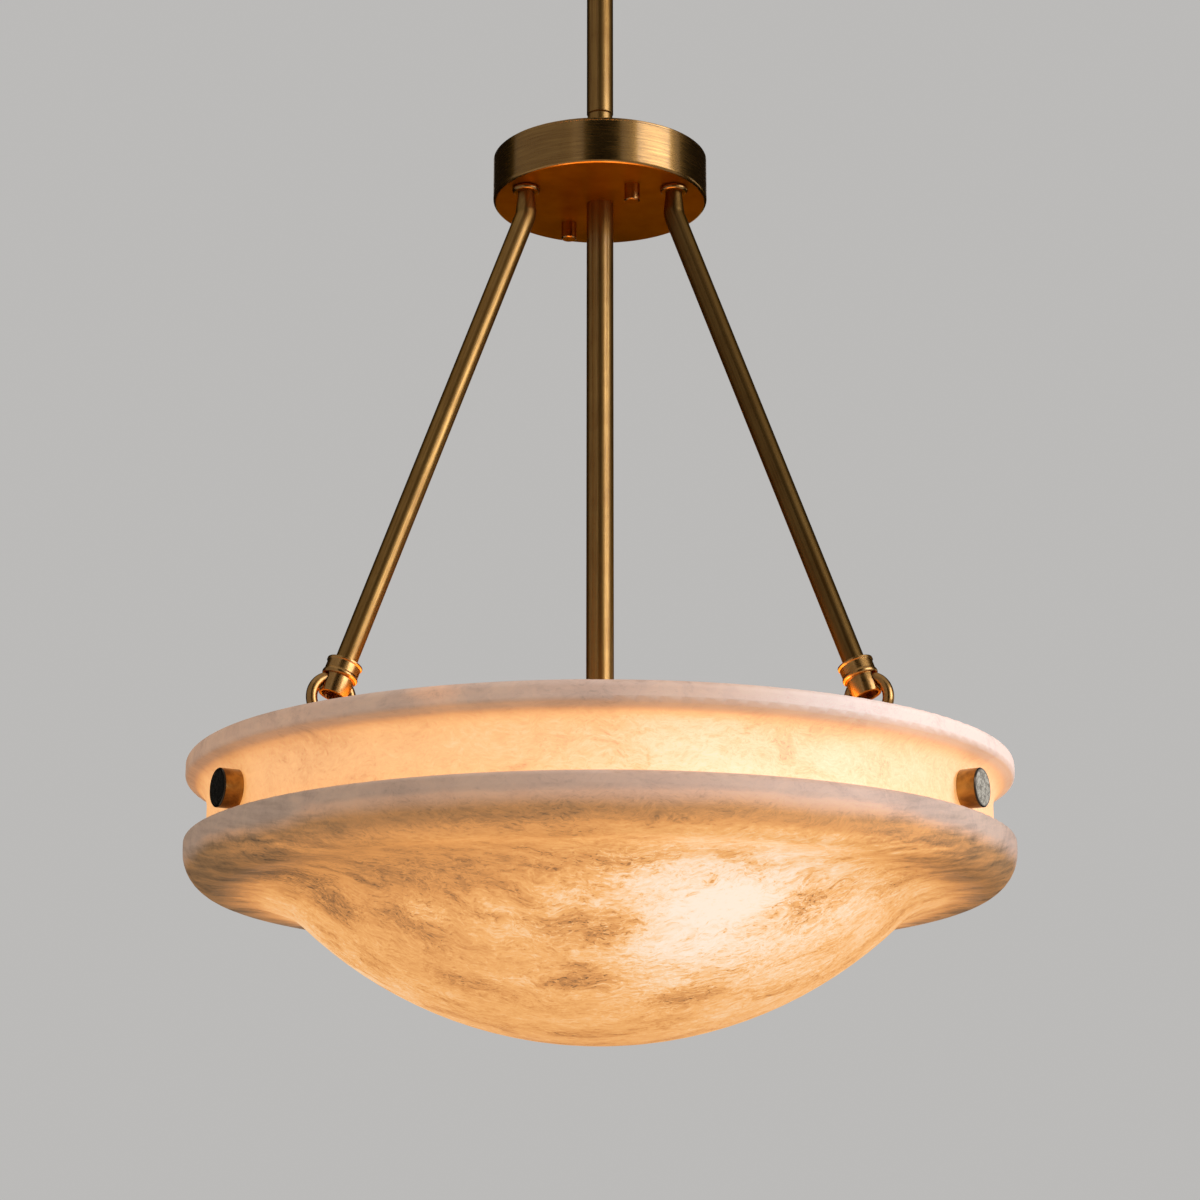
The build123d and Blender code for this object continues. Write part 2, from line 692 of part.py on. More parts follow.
dome_edge = dome_point(dome_radius, dome_angle)
inner_edge = dome_point(inner_dome_radius, dome_angle)
lip_foot = (bowl_radius - lower_lip_radius, lower_lip_z - lower_lip_radius)
lip_arc_reach = lower_lip_radius * math.sqrt(0.5)
lip_arc_mid = (bowl_radius - lower_lip_radius + lip_arc_reach, lower_lip_z - lip_arc_reach)
with BuildPart() as stone_bowl:
    with BuildSketch(Plane.XZ) as bowl_section:
        with BuildLine():
            Polyline((bowl_inner_radius, lower_lip_z), (bowl_inner_radius, rim_z), (bowl_radius, rim_z))
            Line((bowl_radius, rim_z), (bowl_radius, lip_z))
            TangentArc((groove_radius, cove_z), (bowl_radius, lip_z), tangent=(0, 1))
            Polyline(
                (groove_radius, cove_z),
                (groove_radius, ledge_z),
                (bowl_radius, ledge_z),
                (bowl_radius, lower_lip_z),
            )
            ThreePointArc((bowl_radius, lower_lip_z), lip_arc_mid, lip_foot)
            Bezier(
                lip_foot,
                (lip_foot[0] - ogee_pull, lip_foot[1]),
                dome_tangent(dome_edge, ogee_pull),
                dome_edge,
            )
            ThreePointArc(dome_edge, dome_point(dome_radius, dome_angle / 2), (0, bowl_bottom_z))
            Line((0, bowl_bottom_z), (0, bowl_bottom_z + bowl_wall))
            ThreePointArc(
                (0, bowl_bottom_z + bowl_wall),
                dome_point(inner_dome_radius, dome_angle / 2),
                inner_edge,
            )
            Bezier(
                inner_edge,
                dome_tangent(inner_edge, inner_pull),
                (bowl_inner_radius, lower_lip_z - inner_pull),
                (bowl_inner_radius, lower_lip_z),
            )
        make_face()
        for corner, corner_round in (
            ((bowl_inner_radius, rim_z), rim_inner_round),
            ((bowl_radius, rim_z), rim_outer_round),
            ((bowl_radius, lip_z), lip_round),
            ((groove_radius, ledge_z), groove_round),
            ((bowl_radius, ledge_z), ledge_round),
        ):
            fillet(bowl_section.vertices().sort_by_distance((*corner, 0))[0], corner_round)
    revolve(axis=Axis.Z)
    for azimuth in arm_azimuths.values():
        with BuildSketch(radial_plane(azimuth)):
            with Locations((0, knob_z)):
                Circle(knob_stud_diameter / 2 + hole_gap)
        extrude(amount=bowl_radius, mode=Mode.SUBTRACT)
save(stone_bowl.part, "stone_bowl")


def radial_disc(diameter, bore_diameter, inner_r, length):
    """A disc or short tube on the knob's radial axis at azimuth 0."""
    with BuildPart() as disc:
        with BuildSketch(Plane.YZ.offset(inner_r)):
            with Locations((0, knob_z)):
                Circle(diameter / 2)
                Circle(bore_diameter / 2, mode=Mode.SUBTRACT)
        extrude(amount=length)
    return disc.part


# Bowl knob with its gasket, through stud, inner pad and nut, made at azimuth 0
with BuildPart() as bowl_knob:
    with BuildSketch(Plane.YZ.offset(knob_seat_r)):
        with Locations((0, knob_z)):
            Circle(knob_diameter / 2)
    extrude(amount=knob_length)
    chamfer(bowl_knob.faces().sort_by(Axis.X)[-1].edges(), knob_chamfer)
    with BuildSketch(Plane.YZ.offset(knob_seat_r)):
        with Locations((0, knob_z)):
            Circle(knob_stud_diameter / 2 + running_gap)
    extrude(amount=knob_bore_depth, mode=Mode.SUBTRACT)
save_around(bowl_knob.part, "bowl_knob", arm_azimuths)
gasket_bore = knob_stud_diameter + 2 * hole_gap
knob_gasket = radial_disc(
    knob_gasket_diameter, gasket_bore, groove_radius + face_gap, knob_gasket_thickness
)
save_group_around(knob_gasket, "knob_gaskets", arm_azimuths)
pad_outer_r = math.sqrt(bowl_inner_radius**2 - (pad_diameter / 2) ** 2) - face_gap
bracket_outer_r = pad_outer_r - pad_thickness
bracket_inner_r = bracket_outer_r - bracket_thickness
inner_pad = radial_disc(pad_diameter, gasket_bore, bracket_outer_r, pad_thickness)
save_group_around(inner_pad, "bracket_pads", arm_azimuths)
stud_inner_r = bracket_inner_r - knob_nut_height - knob_stud_tail
with BuildPart() as knob_stud:
    with BuildSketch(Plane.YZ.offset(stud_inner_r)):
        with Locations((0, knob_z)):
            Circle(knob_stud_diameter / 2)
    extrude(amount=knob_seat_r + knob_bore_depth - stud_end_gap - stud_inner_r)
save_group_around(knob_stud.part, "knob_studs", arm_azimuths)
with BuildPart() as bracket_nut:
    with BuildSketch(Plane.YZ.offset(bracket_inner_r)):
        with Locations((0, knob_z)):
            RegularPolygon(knob_nut_size / 2, 6, major_radius=False)
            Circle(knob_stud_diameter / 2 + thread_gap, mode=Mode.SUBTRACT)
    extrude(amount=-knob_nut_height)
save_group_around(bracket_nut.part, "bracket_nuts", arm_azimuths)

# Bowl bracket: a leg on the bowl's inner wall, a run inwards and a tab with the eye for the link ring
eye_r = (eye_clearance_above + eye_clearance_below + ring_wire_diameter) / 2
eye_z = ring_z - ring_radius - (eye_clearance_below - eye_clearance_above) / 2
run_bottom_z = rim_z - bracket_run_drop
run_top_z = run_bottom_z + bracket_thickness
tab_outer_r = ring_r + bracket_thickness / 2
tab_inner_r = ring_r - bracket_thickness / 2
tab_top_z = eye_z + eye_r + eye_land
leg_bottom_z = knob_z - bracket_tail
outer_bend = bracket_bend_radius + bracket_thickness
with BuildPart() as bowl_bracket:
    with BuildSketch(Plane.XZ) as bracket_section:
        with BuildLine():
            Polyline(
                (bracket_outer_r, leg_bottom_z),
                (bracket_outer_r, run_top_z),
                (tab_outer_r, run_top_z),
                (tab_outer_r, tab_top_z),
                (tab_inner_r, tab_top_z),
                (tab_inner_r, run_bottom_z),
                (bracket_inner_r, run_bottom_z),
                (bracket_inner_r, leg_bottom_z),
                close=True,
            )
        make_face()
        for corner, corner_round in (
            ((bracket_outer_r, run_top_z), outer_bend),
            ((tab_outer_r, run_top_z), bracket_bend_radius),
            ((tab_inner_r, run_bottom_z), outer_bend),
            ((bracket_inner_r, run_bottom_z), bracket_bend_radius),
        ):
            fillet(bracket_section.vertices().sort_by_distance((*corner, 0))[0], corner_round)
    extrude(amount=bracket_width / 2, both=True)
    corner_edges = bowl_bracket.edges().filter_by(Axis.X)
    fillet(corner_edges.group_by(Axis.Z)[0] + corner_edges.group_by(Axis.Z)[-1], bracket_corner_radius)
    with BuildSketch(Plane.YZ.offset(tab_inner_r)):
        with Locations((0, eye_z)):
            Circle(eye_r)
    extrude(amount=bracket_thickness, mode=Mode.SUBTRACT)
    with BuildSketch(Plane.YZ.offset(bracket_inner_r)):
        with Locations((0, knob_z)):
            Circle(knob_stud_diameter / 2 + hole_gap)
    extrude(amount=bracket_thickness, mode=Mode.SUBTRACT)
save_around(bowl_bracket.part, "bowl_bracket", arm_azimuths)

# Centre rod: a tube with a threaded tenon at each end
tenon_r = tube_thread_diameter / 2
wire_bore_r = tube_thread_bore / 2
rod_top_tenon_z = hub_bottom_z + drum_floor + nut_height + stud_end_gap
rod_low_tenon_z = rod_bottom_z - cluster_roof - nut_height - stud_end_gap
with BuildPart() as centre_rod:
    with BuildSketch(Plane.XZ):
        with BuildLine():
            Polyline(
                (wire_bore_r, rod_top_tenon_z),
                (tenon_r, rod_top_tenon_z),
                (tenon_r, hub_bottom_z),
                (stem_r, hub_bottom_z),
                (stem_r, rod_bottom_z),
                (tenon_r, rod_bottom_z),
                (tenon_r, rod_low_tenon_z),
                (wire_bore_r, rod_low_tenon_z),
                (wire_bore_r, rod_bottom_z + stem_boss_length),
                (stem_bore / 2, rod_bottom_z + stem_boss_length),
                (stem_bore / 2, hub_bottom_z - stem_boss_length),
                (wire_bore_r, hub_bottom_z - stem_boss_length),
                close=True,
            )
        make_face()
    revolve(axis=Axis.Z)
save(centre_rod.part, "centre_rod")

# Lamp cluster: a round housing on the rod's lower end, with its nut, cover and finial
cluster_r = cluster_diameter / 2
cluster_inner_r = cluster_r - cluster_wall
cluster_roof_z = rod_bottom_z - cluster_roof
lamp_angle = math.radians(lamp_tilt)
with BuildPart() as cluster_body:
    with BuildSketch(Plane.XZ) as cluster_section:
        with BuildLine():
            Polyline(
                (tenon_r + hole_gap, rod_bottom_z),
                (cluster_r, rod_bottom_z),
                (cluster_r, cluster_bottom_z),
                (cluster_inner_r, cluster_bottom_z),
                (cluster_inner_r, cluster_roof_z),
                (tenon_r + hole_gap, cluster_roof_z),
                close=True,
            )
        make_face()
        for corner, corner_round in (
            ((cluster_r, rod_bottom_z), cluster_edge_radius),
            ((cluster_inner_r, cluster_roof_z), cluster_edge_radius - cluster_wall),
        ):
            fillet(cluster_section.vertices().sort_by_distance((*corner, 0))[0], corner_round)
    revolve(axis=Axis.Z)
    for azimuth in lamp_azimuths.values():
        lamp_way = (*polar(math.cos(lamp_angle), azimuth), -math.sin(lamp_angle))
        with BuildSketch(Plane(origin=(0, 0, lamp_z), z_dir=lamp_way)):
            Circle(tenon_r + thread_gap)
        extrude(amount=cluster_diameter, mode=Mode.SUBTRACT)
save(cluster_body.part, "lamp_cluster_body")
cluster_nut = hex_nut(tube_nut_size, tube_thread_diameter, nut_height)
save(at(cluster_nut, 0, 0, cluster_roof_z - nut_height), "lamp_cluster_nut")
cover_rim_r = cluster_inner_r - slip_gap
with BuildPart() as cluster_cover:
    with BuildSketch(Plane.XY.offset(cluster_bottom_z)):
        Circle(cluster_r)
    extrude(amount=-cover_thickness)
    fillet(cluster_cover.faces().sort_by(Axis.Z)[0].edges(), cover_edge_radius)
    with BuildSketch(Plane.XY.offset(cluster_bottom_z)):
        Circle(cover_rim_r)
        Circle(cover_rim_r - cover_rim_width, mode=Mode.SUBTRACT)
    extrude(amount=cover_rim_height)
    with BuildSketch(Plane.XY.offset(cluster_bottom_z)):
        Circle(finial_screw_diameter / 2 + thread_gap)
    extrude(amount=-cover_thickness, mode=Mode.SUBTRACT)
save(cluster_cover.part, "lamp_cluster_cover")
finial_top_z = cluster_bottom_z - cover_thickness
finial_ball_z = finial_top_z - finial_neck_height - finial_diameter / 2
with BuildPart() as cluster_finial:
    with BuildSketch(Plane.XY.offset(finial_ball_z)):
        Circle(finial_neck_diameter / 2)
    extrude(amount=finial_top_z - finial_ball_z)
    with Locations((0, 0, finial_ball_z)):
        Sphere(finial_diameter / 2)
    with BuildSketch(Plane.XY.offset(finial_top_z)):
        Circle(finial_screw_diameter / 2)
    extrude(amount=cover_thickness + cover_rim_height)
save(cluster_finial.part, "cluster_finial")

# Lamp sockets and bulbs, made at azimuth 0 along the tilted lamp axis
lamp_dir = (math.cos(lamp_angle), 0, -math.sin(lamp_angle))
lamp_centre = (0, 0, lamp_z)
lamp_axis = Axis(lamp_centre, lamp_dir)
lamp_plane = Plane(origin=lamp_centre, x_dir=lamp_dir, z_dir=(0, -1, 0))
base_r = bulb_base_diameter / 2
socket_bore_r = base_r + socket_cavity_gap
socket_r = socket_bore_r + socket_wall
socket_back_u = (cluster_r + lamp_gap + socket_r * math.sin(lamp_angle)) / math.cos(lamp_angle)
socket_floor_u = socket_back_u + socket_back
socket_mouth_u = socket_back_u + socket_length
with BuildPart() as lamp_nipple:
    with BuildSketch(lamp_plane):
        with BuildLine():
            Polyline(
                (cluster_r - lamp_nipple_inset, wire_bore_r),
                (cluster_r - lamp_nipple_inset, tenon_r),
                (socket_floor_u, tenon_r),
                (socket_floor_u, wire_bore_r),
                close=True,
            )
        make_face()
    revolve(axis=lamp_axis)
save_group_around(lamp_nipple.part, "lamp_nipples", lamp_azimuths)
with BuildPart() as lamp_socket:
    with BuildSketch(lamp_plane) as socket_section:
        with BuildLine():
            Polyline(
                (socket_back_u, tenon_r + thread_gap),
                (socket_back_u, socket_r),
                (socket_mouth_u, socket_r),
                (socket_mouth_u, socket_bore_r),
                (socket_floor_u, socket_bore_r),
                (socket_floor_u, tenon_r + thread_gap),
                close=True,
            )
        make_face()
        for corner in ((socket_back_u, socket_r, 0), (socket_mouth_u, socket_r, 0)):
            fillet(socket_section.vertices().sort_by_distance(corner)[0], socket_edge_radius)
    revolve(axis=lamp_axis)
save_around(lamp_socket.part, "lamp_socket", lamp_azimuths)
glass_u = socket_mouth_u + bulb_socket_gap
shell_back_u = glass_u - bulb_base_length
with BuildPart() as bulb_base:
    with BuildSketch(lamp_plane):
        with BuildLine():
            Polyline(
                (shell_back_u - bulb_tip_length, 0),
                (shell_back_u - bulb_tip_length, bulb_tip_diameter / 2),
                (shell_back_u, base_r - bulb_tip_length / 2),
                (shell_back_u + bulb_tip_length / 2, base_r),
                (glass_u, base_r),
                (glass_u, 0),
                close=True,
            )
        make_face()
    revolve(axis=lamp_axis)
save_around(bulb_base.part, "bulb_base", lamp_azimuths)


def bulb_outline(neck_r, ball_r):
    """The bulb's section: a curve that swells from the neck, then a quarter circle to the tip."""
    ball_u = glass_u + bulb_glass_length - bulb_glass_diameter / 2
    swell = (ball_u - glass_u) / 2
    Bezier((glass_u, neck_r), (glass_u + swell, neck_r), (ball_u - swell, ball_r), (ball_u, ball_r))
    CenterArc((ball_u, 0), ball_r, 0, 90)
    return ball_u + ball_r


with BuildPart() as bulb_glass:
    with BuildSketch(lamp_plane):
        with BuildLine():
            neck_r = bulb_neck_diameter / 2
            ball_r = bulb_glass_diameter / 2
            tip_u = bulb_outline(neck_r, ball_r)
            inner_tip_u = bulb_outline(neck_r - bulb_glass_wall, ball_r - bulb_glass_wall)
            Line((glass_u, neck_r - bulb_glass_wall), (glass_u, neck_r))
            Line((inner_tip_u, 0), (tip_u, 0))
        make_face()
    revolve(axis=lamp_axis)
save_around(bulb_glass.part, "bulb_glass", lamp_azimuths)
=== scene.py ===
import json
import math
from types import SimpleNamespace

import bpy
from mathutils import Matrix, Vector


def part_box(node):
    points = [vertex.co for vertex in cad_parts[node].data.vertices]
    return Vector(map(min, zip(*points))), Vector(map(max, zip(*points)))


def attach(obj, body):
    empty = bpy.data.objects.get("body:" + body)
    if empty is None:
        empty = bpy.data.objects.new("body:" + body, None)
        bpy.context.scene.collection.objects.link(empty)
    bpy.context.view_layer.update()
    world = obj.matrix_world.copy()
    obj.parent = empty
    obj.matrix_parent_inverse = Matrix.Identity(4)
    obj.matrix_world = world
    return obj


# Stone pendant light: looks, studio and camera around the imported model. Metres, +Z up, viewer on -Y.
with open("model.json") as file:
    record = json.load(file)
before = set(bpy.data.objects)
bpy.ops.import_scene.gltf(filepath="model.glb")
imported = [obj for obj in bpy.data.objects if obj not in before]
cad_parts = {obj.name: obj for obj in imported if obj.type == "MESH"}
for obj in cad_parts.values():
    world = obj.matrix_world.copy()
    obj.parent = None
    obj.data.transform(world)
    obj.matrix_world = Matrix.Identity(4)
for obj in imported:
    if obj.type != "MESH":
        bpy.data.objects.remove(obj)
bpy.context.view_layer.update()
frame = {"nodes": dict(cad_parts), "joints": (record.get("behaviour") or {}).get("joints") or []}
nodes = frame["nodes"]
joints = {joint["name"]: joint for joint in frame["joints"]}

# Levels and places read from the frame
hub_bottom_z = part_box("hub_cup")[0].z
rim_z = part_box("stone_bowl")[1].z
sides = ("left", "right", "rear")
lamps = ("front", "rear", "side")


def joint_place(name):
    return Vector(joints[name]["pos_m"])


def joint_axis(name):
    return Vector(joints[name]["axis"])


def below_rim(*drops):
    """Heights that lie this far under the bowl's rim."""
    return [rim_z - drop for drop in drops]


# Centres of the bulbs' balls, this far along each bulb's axis from its joint
bulb_reach = 0.0597
lamp_centres = {}
for lamp in lamps:
    turn = f"bulb_{lamp}_turn"
    lamp_centres[lamp] = joint_place(turn) + bulb_reach * joint_axis(turn)


class Graph:
    """A node tree, built a node at a time. Each value is a node's output or a constant."""

    def __init__(self, tree):
        self.tree = tree

    def add(self, kind, **settings):
        node = self.tree.nodes.new(kind)
        for name, value in settings.items():
            setattr(node, name, value)
        return node

    def put(self, value, socket):
        """Link an output to a socket, or set the socket to a constant."""
        if isinstance(value, bpy.types.NodeSocket):
            self.tree.links.new(value, socket)
        elif socket.type == "RGBA":
            socket.default_value = (*value, 1.0)
        else:
            socket.default_value = value

    def split(self, vector):
        node = self.add("ShaderNodeSeparateXYZ")
        self.put(vector, node.inputs[0])
        return node.outputs

    def join(self, *parts):
        node = self.add("ShaderNodeCombineXYZ")
        for part, socket in zip(parts, node.inputs):
            self.put(part, socket)
        return node.outputs["Vector"]

    def math(self, operation, first, second=0.0):
        node = self.add("ShaderNodeMath", operation=operation)
        self.put(first, node.inputs[0])
        self.put(second, node.inputs[1])
        return node.outputs[0]

    def fold(self, operation, values):
        """Join values into one, one after another."""
        result = values[0]
        for value in values[1:]:
            result = self.math(operation, result, value)
        return result

    def times(self, *values):
        return self.fold("MULTIPLY", values)

    def largest(self, *values):
        return self.fold("MAXIMUM", values)

    def smallest(self, *values):
        return self.fold("MINIMUM", values)

    def inverse(self, value):
        """1 less the value."""
        return self.math("SUBTRACT", 1.0, value)

    def total(self, *terms):
        """Add up weighted terms, each a pair of a value and its weight."""
        result = 0.0
        for value, weight in terms:
            node = self.add("ShaderNodeMath", operation="MULTIPLY_ADD")
            self.put(value, node.inputs[0])
            self.put(weight, node.inputs[1])
            self.put(result, node.inputs[2])
            result = node.outputs[0]
        return result

    def vector(self, operation, first, second):
        node = self.add("ShaderNodeVectorMath", operation=operation)
        self.put(first, node.inputs[0])
        self.put(second, node.inputs[1])
        return node.outputs["Value" if operation in ("DISTANCE", "DOT_PRODUCT") else "Vector"]

    def noise(self, vector, scale, detail=3.0, roughness=0.55, distortion=0.0):
        node = self.add("ShaderNodeTexNoise")
        self.put(vector, node.inputs["Vector"])
        node.inputs["Scale"].default_value = scale
        node.inputs["Detail"].default_value = detail
        node.inputs["Roughness"].default_value = roughness
        node.inputs["Distortion"].default_value = distortion
        return node.outputs["Fac"]

    def warp(self, vector, scale, reach):
        """Shift a vector a little this way and that, so that a pattern made on it wanders."""
        node = self.add("ShaderNodeTexNoise")
        self.put(vector, node.inputs["Vector"])
        node.inputs["Scale"].default_value = scale
        shift = self.vector("SUBTRACT", node.outputs["Color"], (0.5, 0.5, 0.5))
        return self.vector("ADD", vector, self.vector("MULTIPLY", shift, (reach, reach, reach)))

    def smooth(self, value, low, high, to_low=0.0, to_high=1.0):
        """Map a value to a range with a soft step."""
        node = self.add("ShaderNodeMapRange", interpolation_type="SMOOTHSTEP")
        self.put(value, node.inputs["Value"])
        for name, number in (("From Min", low), ("From Max", high), ("To Min", to_low), ("To Max", to_high)):
            node.inputs[name].default_value = number
        return node.outputs["Result"]

    def mix(self, factor, first, second):
        """Blend two colours. The node keeps its factor between 0 and 1."""
        node = self.add("ShaderNodeMix", data_type="RGBA")
        self.put(factor, node.inputs["Factor"])
        self.put(first, node.inputs["A"])
        self.put(second, node.inputs["B"])
        return node.outputs["Result"]

    def ramp(self, value, stops):
        node = self.add("ShaderNodeValToRGB")
        elements = node.color_ramp.elements
        while len(elements) < len(stops):
            elements.new(0.5)
        for element, (place, tone) in zip(elements, stops):
            element.position = place
            element.color = (*tone, 1.0)
        self.put(value, node.inputs["Fac"])
        return node.outputs["Color"]

    def seen(self):
        """1 for rays that show a surface, mirrored or through glass too, and 0 for the rest."""
        path = self.add("ShaderNodeLightPath").outputs
        rays = self.total(
            (path["Is Camera Ray"], 1.0),
            (path["Is Glossy Ray"], 1.0),
            (path["Is Transmission Ray"], 1.0),
        )
        return self.smallest(rays, 1.0)


class Finish(Graph):
    """The node tree of one procedural material."""

    def __init__(self, name):
        self.material = bpy.data.materials.new(name)
        self.material.use_nodes = True
        super().__init__(self.material.node_tree)
        self.shader = self.tree.nodes["Principled BSDF"]
        surface = self.add("ShaderNodeTexCoord").outputs
        self.position = surface["Object"]
        self.facing = surface["Normal"]

    def shade(self, **values):
        """Set the shader's own sockets, named in lower case with underscores."""
        sockets = {socket.name.lower().replace(" ", "_"): socket for socket in self.shader.inputs}
        for name, value in values.items():
            self.put(value, sockets[name])

    def rounded(self, reach):
        """The surface's normal with its sharp edges rounded."""
        bevel = self.add("ShaderNodeBevel", samples=4)
        bevel.inputs["Radius"].default_value = reach
        return bevel.outputs["Normal"]

    def edges(self, rounded):
        """How near a sharp edge each point is, from the rounded normal."""
        plain = self.add("ShaderNodeNewGeometry").outputs["Normal"]
        return self.smooth(self.vector("DOT_PRODUCT", rounded, plain), 0.90, 0.995, 1.0, 0.0)

    def bump(self, height, distance, strength, normal=None):
        node = self.add("ShaderNodeBump")
        node.inputs["Strength"].default_value = strength
        node.inputs["Distance"].default_value = distance
        self.put(height, node.inputs["Height"])
        if normal is not None:
            self.put(normal, node.inputs["Normal"])
        self.shade(normal=node.outputs["Normal"])


# Alabaster, where it is thin or thick. Pairs are a soft edge's start and end, and drops count from the rim
inner_r = 0.2060
groove_r = 0.2194
outer_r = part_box("stone_bowl")[1].x
lower_lip_r = (0.2130, 0.2200)
flange_r = (0.184, 0.216)
lip_drop = 0.0140
ledge_drop = 0.0450
lower_lip_drop = (0.0635, 0.0540)
lower_core_drop = (0.0595, 0.0520)
rim_top_drop = (0.006, 0.001)
bottom_z = (-0.720, -0.690)
lip_ends_x = (0.105, 0.165)
groove_right_x = (0.03, 0.13)
# Where the upper lip's right end is painted paler: painted light, as if lit more from the right
painted_light_lip_x = (0.04, 0.15)
flange_back_y = (-0.190, -0.080)

# Share of the light that each thick place holds back
upper_lip_holds = 0.56
upper_ends_hold_less = 0.12
lower_lip_holds = 0.60
lower_ends_hold = 0.66
flange_holds = 0.61
ledge_holds = 0.40

# Light behind the stone: an even part, stronger to the right, and a near and a far part of each bulb
even_light = 0.415
light_to_right = 0.60
bulb_to_stone = 0.059
near_spread = 0.042
far_spread = 0.090
near_light = {"front": 0.27, "rear": 0.27, "side": 0.20}
far_light = 0.24

# Colours of the stone, and of the light through it from none to the most
stone_tone = (0.43, 0.270, 0.140)
# Painted light: the groove's paler tone stands in for part of the glow through the thin stone there
painted_glow_groove_tone = (0.60, 0.46, 0.34)
lip_tones = ((0.76, 0.62, 0.52), (0.64, 0.53, 0.47))
# Painted light: the upper lip's right end is painted paler and whiter, as if lit more from the right
painted_light_lip_tone = (0.90, 0.84, 0.79)
lower_lip_tone = (0.45, 0.36, 0.30)
cloud_tone = (0.27, 0.165, 0.098)
glow_tones = [
    (0.0, (0.0, 0.0, 0.0)),
    (0.12, (0.105, 0.046, 0.014)),
    (0.28, (0.330, 0.128, 0.032)),
    (0.44, (0.600, 0.240, 0.058)),
    (0.60, (0.800, 0.390, 0.122)),
    (0.72, (0.840, 0.540, 0.300)),
    (0.82, (0.850, 0.650, 0.470)),
    (1.0, (0.870, 0.740, 0.620)),
]

# Clear and cloudy patches of the stone: place, half height and weight. Each is twice as long as it is high
clear_patches = [
    ((0.020, -0.162, -0.658), 0.034, 0.08),
    ((0.059, -0.142, -0.667), 0.026, 0.22),
    ((0.046, -0.122, -0.683), 0.020, 0.17),
    ((-0.020, -0.155, -0.665), 0.018, 0.18),
    ((-0.050, -0.136, -0.673), 0.026, 0.15),
    ((-0.091, -0.124, -0.666), 0.016, 0.22),
    ((-0.046, -0.093, -0.698), 0.016, 0.08),
    ((-0.082, -0.214, -0.572), 0.015, 0.40),
    ((0.090, 0.120, -0.672), 0.034, 0.18),
    ((-0.080, 0.110, -0.690), 0.030, 0.16),
]
cloudy_patches = [
    ((-0.021, -0.227, -0.632), 0.012, 1.10),
    ((-0.058, -0.219, -0.633), 0.015, 0.70),
    ((0.008, -0.181, -0.646), 0.024, 1.00),
    ((-0.105, -0.146, -0.647), 0.024, 0.90),
    ((-0.158, -0.095, -0.645), 0.030, 1.80),
    ((-0.143, -0.087, -0.655), 0.027, 1.80),
    ((-0.174, -0.139, -0.637), 0.018, 1.10),
    ((-0.103, -0.108, -0.670), 0.026, 1.00),
    ((-0.010, -0.139, -0.678), 0.020, 1.50),
    ((-0.006, -0.098, -0.701), 0.013, 1.30),
    ((-0.069, -0.077, -0.698), 0.018, 1.10),
    ((0.045, -0.075, -0.705), 0.018, 1.40),
    ((0.110, -0.116, -0.662), 0.022, 1.50),
    ((0.157, -0.095, -0.645), 0.018, 1.10),
    ((0.060, 0.150, -0.664), 0.024, 1.10),
    ((-0.110, 0.060, -0.690), 0.026, 1.20),
    ((-0.030, 0.165, -0.660), 0.022, 1.00),
    ((0.150, 0.040, -0.668), 0.026, 1.00),
]
patch_core = 0.15

# Tilt of the stone's layers about X, and how far the streaks in them are drawn out
bedding_tilt = 0.2555
drawn_out = 0.10


def patches(graph, place, spots):
    """How far inside any of the stone's patches each point lies."""
    drawn_in = Vector((0.5, 1.0, 1.0))
    place = graph.vector("MULTIPLY", place, drawn_in)
    depths = []
    for centre, reach, weight in spots:
        away = graph.vector("DISTANCE", place, Vector(centre) * drawn_in)
        depths.append(graph.smooth(away, patch_core * reach, reach, weight, 0.0))
    return graph.largest(*depths)


def stone_figure(graph):
    """The stone's clouds, threads and flecks. Its grain runs along X, so they are drawn out that way."""
    wandering = graph.warp(graph.warp(graph.position, 24.0, 0.022), 90.0, 0.007)
    grain = graph.vector("MULTIPLY", wandering, (0.45, 1.0, 1.0))
    fine_grain = graph.vector("MULTIPLY", wandering, (0.33, 1.0, 1.0))
    long_grain = graph.vector("MULTIPLY", wandering, (0.20, 1.0, 1.0))
    drifts = graph.noise(grain, 42.0, detail=4.0, roughness=0.66, distortion=0.6)
    tatters = graph.noise(grain, 95.0, detail=4.0, roughness=0.62, distortion=0.4)
    clouds = graph.largest(patches(graph, wandering, cloudy_patches), graph.smooth(drifts, 0.50, 0.74))
    cells = graph.math("SUBTRACT", graph.noise(grain, 210.0, distortion=0.7), 0.5)
    cells = graph.math("ABSOLUTE", cells)
    return SimpleNamespace(
        broad=graph.noise(grain, 17.0, distortion=0.3),
        drifts=drifts,
        clear=patches(graph, wandering, clear_patches),
        cloudy=graph.times(clouds, graph.smooth(tatters, 0.34, 0.60, 0.42, 1.0)),
        threads=graph.smooth(cells, 0.0, 0.036, 1.0, 0.0),
        lenses=graph.smooth(cells, 0.04, 0.17),
        flecks=graph.smooth(graph.noise(fine_grain, 820.0, detail=2.0, distortion=0.6), 0.55, 0.68),
        dust=graph.smooth(graph.noise(fine_grain, 1500.0, detail=2.0, roughness=0.6), 0.56, 0.70),
        fibres=graph.noise(long_grain, 560.0, detail=4.0, roughness=0.72, distortion=0.3),
    )


def stone_layers(graph):
    """Tilted layers of the stone, which show as long streaks."""
    across, inward, up = graph.split(graph.warp(graph.position, 30.0, 0.006))
    tilt_cos = math.cos(bedding_tilt)
    tilt_sin = math.sin(bedding_tilt)
    layers = graph.join(
        graph.times(across, drawn_out),
        graph.total((inward, drawn_out * tilt_cos), (up, drawn_out * tilt_sin)),
        graph.total((inward, -tilt_sin), (up, tilt_cos)),
    )
    return graph.noise(layers, 260.0, detail=4.0, roughness=0.62, distortion=0.2)


